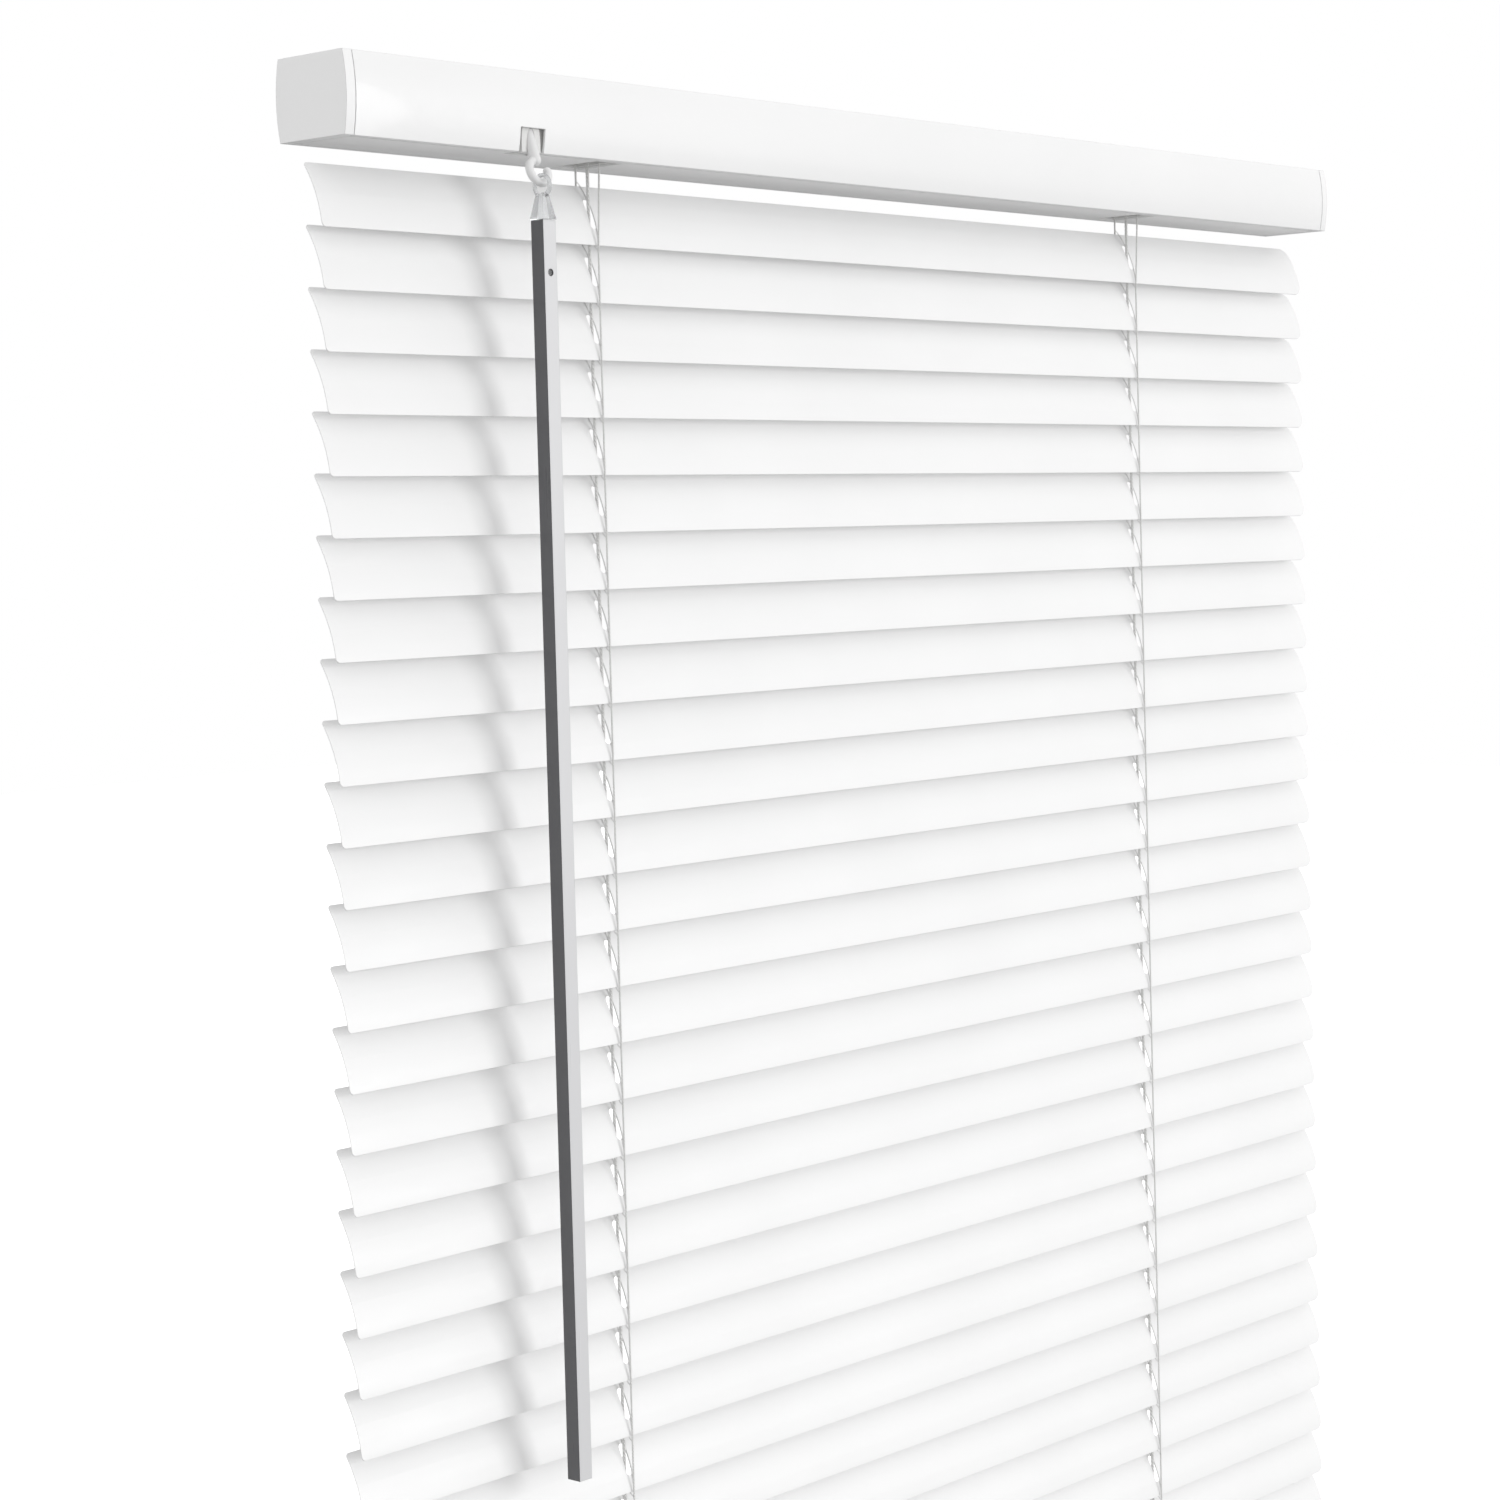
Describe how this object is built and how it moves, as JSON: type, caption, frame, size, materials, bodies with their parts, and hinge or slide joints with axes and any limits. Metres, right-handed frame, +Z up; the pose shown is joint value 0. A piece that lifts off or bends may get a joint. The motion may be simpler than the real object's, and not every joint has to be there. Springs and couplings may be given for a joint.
{
  "type": "venetian blinds",
  "caption": "Cordless venetian blind with closed, lapped crowned slats on ladder cords, a box headrail with end caps and a hanging tilt wand.",
  "frame": {"origin": "centre of the headrail's top face, where the end brackets carry it", "axes": "+Z up, +X along the headrail to the end away from the wand, +Y to the wall; the room side is -Y"},
  "size_m": [0.61, 0.044, 0.6924],
  "materials": {
    "headrail_enamel": "satin white enamel",
    "cap_plastic": "satin white",
    "slat_vinyl": "satin white",
    "rail_vinyl": "satin white",
    "white_cord": "braided polyester",
    "mechanism_plastic": "moulded",
    "hook_plastic": "moulded",
    "connector_plastic": "clear to milky",
    "wand_plastic": "smooth extruded",
    "mechanism_steel": "zinc plated"
  },
  "bodies": {
    "root": {"headrail": "headrail_enamel", "end_cap_left": "cap_plastic", "end_cap_right": "cap_plastic", "tilter_housing": "mechanism_plastic", "cradle_left": "mechanism_plastic", "cradle_right": "mechanism_plastic", "spring_motor_housing": "mechanism_plastic", "lift_cords": "white_cord", "ladder_leads_and_rungs": "white_cord"},
    "tilter_stem": {"tilter_stem": "hook_plastic"},
    "wand": {"wand": "wand_plastic", "wand_connector": "connector_plastic"},
    "tilt_shaft": {"tilt_rod": "mechanism_steel", "tilter_gear": "mechanism_plastic", "ladder_drum_left": "mechanism_plastic", "ladder_drum_right": "mechanism_plastic"},
    "cord_spool_left": {"cord_spool_left": "mechanism_plastic"},
    "cord_spool_right": {"cord_spool_right": "mechanism_plastic"},
    "power_spring": {"power_spring": "mechanism_steel"},
    "lift_cord_ends": {"lift_cord_knots": "white_cord"},
    "bottom_rail": {"bottom_rail": "rail_vinyl", "rail_cap_left": "cap_plastic", "rail_cap_right": "cap_plastic", "ladder_plugs": "mechanism_plastic"},
    "ladder_front": {"ladder_front_cords": "white_cord"},
    "ladder_back": {"ladder_back_cords": "white_cord"},
    "slat_01": {"slat_01": "slat_vinyl"},
    "slat_02": {"slat_02": "slat_vinyl"},
    "slat_03": {"slat_03": "slat_vinyl"},
    "slat_04": {"slat_04": "slat_vinyl"},
    "slat_05": {"slat_05": "slat_vinyl"},
    "slat_06": {"slat_06": "slat_vinyl"},
    "slat_07": {"slat_07": "slat_vinyl"},
    "slat_08": {"slat_08": "slat_vinyl"},
    "slat_09": {"slat_09": "slat_vinyl"},
    "slat_10": {"slat_10": "slat_vinyl"},
    "slat_11": {"slat_11": "slat_vinyl"},
    "slat_12": {"slat_12": "slat_vinyl"},
    "slat_13": {"slat_13": "slat_vinyl"},
    "slat_14": {"slat_14": "slat_vinyl"},
    "slat_15": {"slat_15": "slat_vinyl"},
    "slat_16": {"slat_16": "slat_vinyl"},
    "slat_17": {"slat_17": "slat_vinyl"},
    "slat_18": {"slat_18": "slat_vinyl"},
    "slat_19": {"slat_19": "slat_vinyl"},
    "slat_20": {"slat_20": "slat_vinyl"},
    "slat_21": {"slat_21": "slat_vinyl"},
    "slat_22": {"slat_22": "slat_vinyl"},
    "slat_23": {"slat_23": "slat_vinyl"},
    "slat_24": {"slat_24": "slat_vinyl"},
    "slat_25": {"slat_25": "slat_vinyl"},
    "slat_26": {"slat_26": "slat_vinyl"},
    "slat_27": {"slat_27": "slat_vinyl"},
    "ladder_rungs_27": {"ladder_rungs_27": "white_cord"},
    "slat_28": {"slat_28": "slat_vinyl"},
    "ladder_rungs_28": {"ladder_rungs_28": "white_cord"},
    "slat_29": {"slat_29": "slat_vinyl"},
    "ladder_rungs_29": {"ladder_rungs_29": "white_cord"},
    "slat_30": {"slat_30": "slat_vinyl"},
    "ladder_rungs_30": {"ladder_rungs_30": "white_cord"}
  },
  "joints": [
    {"name": "wand_turn", "type": "hinge", "parent": "root", "child": "wand", "pos_m": [-0.2185, -0.02142, -0.03958], "axis": [0, 0, 1], "range_deg": [0, 2280], "deforming": ["ladder_leads_and_rungs"]},
    {"name": "tilter_stem_turn", "type": "hinge", "parent": "root", "child": "tilter_stem", "pos_m": [-0.2185, -0.01005, -0.00834], "axis": [0, 0.3419, 0.9397], "range_deg": [0, 2280]},
    {"name": "tilt_shaft_turn", "type": "hinge", "parent": "root", "child": "tilt_shaft", "pos_m": [0, 0, -0.012], "axis": [-1, 0, 0], "range_deg": [0, 228]},
    {"name": "slat_01_tilt", "type": "hinge", "parent": "root", "child": "slat_01", "pos_m": [0, 0, -0.0465], "axis": [-1, 0, 0], "range_deg": [0, 136]},
    {"name": "slat_02_tilt", "type": "hinge", "parent": "root", "child": "slat_02", "pos_m": [0, 0, -0.0675], "axis": [-1, 0, 0], "range_deg": [0, 136]},
    {"name": "slat_03_tilt", "type": "hinge", "parent": "root", "child": "slat_03", "pos_m": [0, 0, -0.0885], "axis": [-1, 0, 0], "range_deg": [0, 136]},
    {"name": "slat_04_tilt", "type": "hinge", "parent": "root", "child": "slat_04", "pos_m": [0, 0, -0.1095], "axis": [-1, 0, 0], "range_deg": [0, 136]},
    {"name": "slat_05_tilt", "type": "hinge", "parent": "root", "child": "slat_05", "pos_m": [0, 0, -0.1305], "axis": [-1, 0, 0], "range_deg": [0, 136]},
    {"name": "slat_06_tilt", "type": "hinge", "parent": "root", "child": "slat_06", "pos_m": [0, 0, -0.1515], "axis": [-1, 0, 0], "range_deg": [0, 136]},
    {"name": "slat_07_tilt", "type": "hinge", "parent": "root", "child": "slat_07", "pos_m": [0, 0, -0.1725], "axis": [-1, 0, 0], "range_deg": [0, 136]},
    {"name": "slat_08_tilt", "type": "hinge", "parent": "root", "child": "slat_08", "pos_m": [0, 0, -0.1935], "axis": [-1, 0, 0], "range_deg": [0, 136]},
    {"name": "slat_09_tilt", "type": "hinge", "parent": "root", "child": "slat_09", "pos_m": [0, 0, -0.2145], "axis": [-1, 0, 0], "range_deg": [0, 136]},
    {"name": "slat_10_tilt", "type": "hinge", "parent": "root", "child": "slat_10", "pos_m": [0, 0, -0.2355], "axis": [-1, 0, 0], "range_deg": [0, 136]},
    {"name": "slat_11_tilt", "type": "hinge", "parent": "root", "child": "slat_11", "pos_m": [0, 0, -0.2565], "axis": [-1, 0, 0], "range_deg": [0, 136]},
    {"name": "slat_12_tilt", "type": "hinge", "parent": "root", "child": "slat_12", "pos_m": [0, 0, -0.2775], "axis": [-1, 0, 0], "range_deg": [0, 136]},
    {"name": "slat_13_tilt", "type": "hinge", "parent": "root", "child": "slat_13", "pos_m": [0, 0, -0.2985], "axis": [-1, 0, 0], "range_deg": [0, 136]},
    {"name": "slat_14_tilt", "type": "hinge", "parent": "root", "child": "slat_14", "pos_m": [0, 0, -0.3195], "axis": [-1, 0, 0], "range_deg": [0, 136]},
    {"name": "slat_15_tilt", "type": "hinge", "parent": "root", "child": "slat_15", "pos_m": [0, 0, -0.3405], "axis": [-1, 0, 0], "range_deg": [0, 136]},
    {"name": "slat_16_tilt", "type": "hinge", "parent": "root", "child": "slat_16", "pos_m": [0, 0, -0.3615], "axis": [-1, 0, 0], "range_deg": [0, 136]},
    {"name": "slat_17_tilt", "type": "hinge", "parent": "root", "child": "slat_17", "pos_m": [0, 0, -0.3825], "axis": [-1, 0, 0], "range_deg": [0, 136]},
    {"name": "slat_18_tilt", "type": "hinge", "parent": "root", "child": "slat_18", "pos_m": [0, 0, -0.4035], "axis": [-1, 0, 0], "range_deg": [0, 136]},
    {"name": "slat_19_tilt", "type": "hinge", "parent": "root", "child": "slat_19", "pos_m": [0, 0, -0.4245], "axis": [-1, 0, 0], "range_deg": [0, 136]},
    {"name": "slat_20_tilt", "type": "hinge", "parent": "root", "child": "slat_20", "pos_m": [0, 0, -0.4455], "axis": [-1, 0, 0], "range_deg": [0, 136]},
    {"name": "slat_21_tilt", "type": "hinge", "parent": "root", "child": "slat_21", "pos_m": [0, 0, -0.4665], "axis": [-1, 0, 0], "range_deg": [0, 136]},
    {"name": "slat_22_tilt", "type": "hinge", "parent": "root", "child": "slat_22", "pos_m": [0, 0, -0.4875], "axis": [-1, 0, 0], "range_deg": [0, 136]},
    {"name": "slat_23_tilt", "type": "hinge", "parent": "root", "child": "slat_23", "pos_m": [0, 0, -0.5085], "axis": [-1, 0, 0], "range_deg": [0, 136]},
    {"name": "slat_24_tilt", "type": "hinge", "parent": "root", "child": "slat_24", "pos_m": [0, 0, -0.5295], "axis": [-1, 0, 0], "range_deg": [0, 136]},
    {"name": "slat_25_tilt", "type": "hinge", "parent": "root", "child": "slat_25", "pos_m": [0, 0, -0.5505], "axis": [-1, 0, 0], "range_deg": [0, 136]},
    {"name": "slat_26_tilt", "type": "hinge", "parent": "root", "child": "slat_26", "pos_m": [0, 0, -0.5715], "axis": [-1, 0, 0], "range_deg": [0, 136]},
    {"name": "gather_27", "type": "slide", "parent": "root", "child": "ladder_rungs_27", "axis": [0, 0, 1], "range_m": [0, 0.017], "deforming": ["ladder_rungs_27"]},
    {"name": "slat_27_tilt", "type": "hinge", "parent": "ladder_rungs_27", "child": "slat_27", "pos_m": [0, 0, -0.5925], "axis": [-1, 0, 0], "range_deg": [0, 136]},
    {"name": "gather_28", "type": "slide", "parent": "root", "child": "ladder_rungs_28", "axis": [0, 0, 1], "range_m": [0, 0.034], "deforming": ["ladder_rungs_28"]},
    {"name": "slat_28_tilt", "type": "hinge", "parent": "ladder_rungs_28", "child": "slat_28", "pos_m": [0, 0, -0.6135], "axis": [-1, 0, 0], "range_deg": [0, 136]},
    {"name": "gather_29", "type": "slide", "parent": "root", "child": "ladder_rungs_29", "axis": [0, 0, 1], "range_m": [0, 0.051], "deforming": ["ladder_rungs_29"]},
    {"name": "slat_29_tilt", "type": "hinge", "parent": "ladder_rungs_29", "child": "slat_29", "pos_m": [0, 0, -0.6345], "axis": [-1, 0, 0], "range_deg": [0, 136]},
    {"name": "gather_30", "type": "slide", "parent": "root", "child": "ladder_rungs_30", "axis": [0, 0, 1], "range_m": [0, 0.068], "deforming": ["ladder_rungs_30"]},
    {"name": "slat_30_tilt", "type": "hinge", "parent": "ladder_rungs_30", "child": "slat_30", "pos_m": [0, 0, -0.6555], "axis": [-1, 0, 0], "range_deg": [0, 136]},
    {"name": "ladder_front_swing", "type": "hinge", "parent": "slat_01", "child": "ladder_front", "pos_m": [0, -0.00462, -0.06006], "axis": [-1, 0, 0], "range_deg": [-136, 0]},
    {"name": "ladder_back_swing", "type": "hinge", "parent": "slat_01", "child": "ladder_back", "pos_m": [0, 0.0061, -0.03354], "axis": [-1, 0, 0], "range_deg": [-136, 0]},
    {"name": "lift", "type": "slide", "parent": "root", "child": "lift_cord_ends", "axis": [0, 0, 1], "range_m": [0, 0.073], "deforming": ["lift_cords", "ladder_front_cords", "ladder_back_cords"]},
    {"name": "bottom_rail_tilt", "type": "hinge", "parent": "lift_cord_ends", "child": "bottom_rail", "pos_m": [0, 0, -0.6795], "axis": [-1, 0, 0], "range_deg": [0, 136]},
    {"name": "cord_spool_left_turn", "type": "hinge", "parent": "root", "child": "cord_spool_left", "pos_m": [-0.014, 0.006, -0.022], "axis": [0, 0, 1], "range_deg": [0, 697.6]},
    {"name": "cord_spool_right_turn", "type": "hinge", "parent": "root", "child": "cord_spool_right", "pos_m": [0.014, -0.006, -0.022], "axis": [0, 0, 1], "range_deg": [0, 697.6]},
    {"name": "power_spring_turn", "type": "hinge", "parent": "root", "child": "power_spring", "pos_m": [-0.036, 0.0072, -0.022], "axis": [0, 0, 1], "range_deg": [-697.6, 0]}
  ],
  "couplings": [
    {"joint": "tilter_stem_turn", "follows": "wand_turn", "ratio": 1},
    {"joint": "tilt_shaft_turn", "follows": "wand_turn", "ratio": 0.1},
    {"joint": "slat_01_tilt", "follows": "wand_turn", "ratio": 0.059649},
    {"joint": "slat_02_tilt", "follows": "wand_turn", "ratio": 0.059649},
    {"joint": "slat_03_tilt", "follows": "wand_turn", "ratio": 0.059649},
    {"joint": "slat_04_tilt", "follows": "wand_turn", "ratio": 0.059649},
    {"joint": "slat_05_tilt", "follows": "wand_turn", "ratio": 0.059649},
    {"joint": "slat_06_tilt", "follows": "wand_turn", "ratio": 0.059649},
    {"joint": "slat_07_tilt", "follows": "wand_turn", "ratio": 0.059649},
    {"joint": "slat_08_tilt", "follows": "wand_turn", "ratio": 0.059649},
    {"joint": "slat_09_tilt", "follows": "wand_turn", "ratio": 0.059649},
    {"joint": "slat_10_tilt", "follows": "wand_turn", "ratio": 0.059649},
    {"joint": "slat_11_tilt", "follows": "wand_turn", "ratio": 0.059649},
    {"joint": "slat_12_tilt", "follows": "wand_turn", "ratio": 0.059649},
    {"joint": "slat_13_tilt", "follows": "wand_turn", "ratio": 0.059649},
    {"joint": "slat_14_tilt", "follows": "wand_turn", "ratio": 0.059649},
    {"joint": "slat_15_tilt", "follows": "wand_turn", "ratio": 0.059649},
    {"joint": "slat_16_tilt", "follows": "wand_turn", "ratio": 0.059649},
    {"joint": "slat_17_tilt", "follows": "wand_turn", "ratio": 0.059649},
    {"joint": "slat_18_tilt", "follows": "wand_turn", "ratio": 0.059649},
    {"joint": "slat_19_tilt", "follows": "wand_turn", "ratio": 0.059649},
    {"joint": "slat_20_tilt", "follows": "wand_turn", "ratio": 0.059649},
    {"joint": "slat_21_tilt", "follows": "wand_turn", "ratio": 0.059649},
    {"joint": "slat_22_tilt", "follows": "wand_turn", "ratio": 0.059649},
    {"joint": "slat_23_tilt", "follows": "wand_turn", "ratio": 0.059649},
    {"joint": "slat_24_tilt", "follows": "wand_turn", "ratio": 0.059649},
    {"joint": "slat_25_tilt", "follows": "wand_turn", "ratio": 0.059649},
    {"joint": "slat_26_tilt", "follows": "wand_turn", "ratio": 0.059649},
    {"joint": "gather_27", "follows": "lift", "ratio": 0.23288},
    {"joint": "slat_27_tilt", "follows": "wand_turn", "ratio": 0.059649},
    {"joint": "gather_28", "follows": "lift", "ratio": 0.46575},
    {"joint": "slat_28_tilt", "follows": "wand_turn", "ratio": 0.059649},
    {"joint": "gather_29", "follows": "lift", "ratio": 0.69863},
    {"joint": "slat_29_tilt", "follows": "wand_turn", "ratio": 0.059649},
    {"joint": "gather_30", "follows": "lift", "ratio": 0.93151},
    {"joint": "slat_30_tilt", "follows": "wand_turn", "ratio": 0.059649},
    {"joint": "ladder_front_swing", "follows": "wand_turn", "ratio": -0.059649},
    {"joint": "ladder_back_swing", "follows": "wand_turn", "ratio": -0.059649},
    {"joint": "bottom_rail_tilt", "follows": "wand_turn", "ratio": 0.059649},
    {"joint": "cord_spool_left_turn", "follows": "lift", "rad_per_m": 166.67},
    {"joint": "cord_spool_right_turn", "follows": "lift", "rad_per_m": 166.67},
    {"joint": "power_spring_turn", "follows": "lift", "rad_per_m": -166.67}
  ]
}
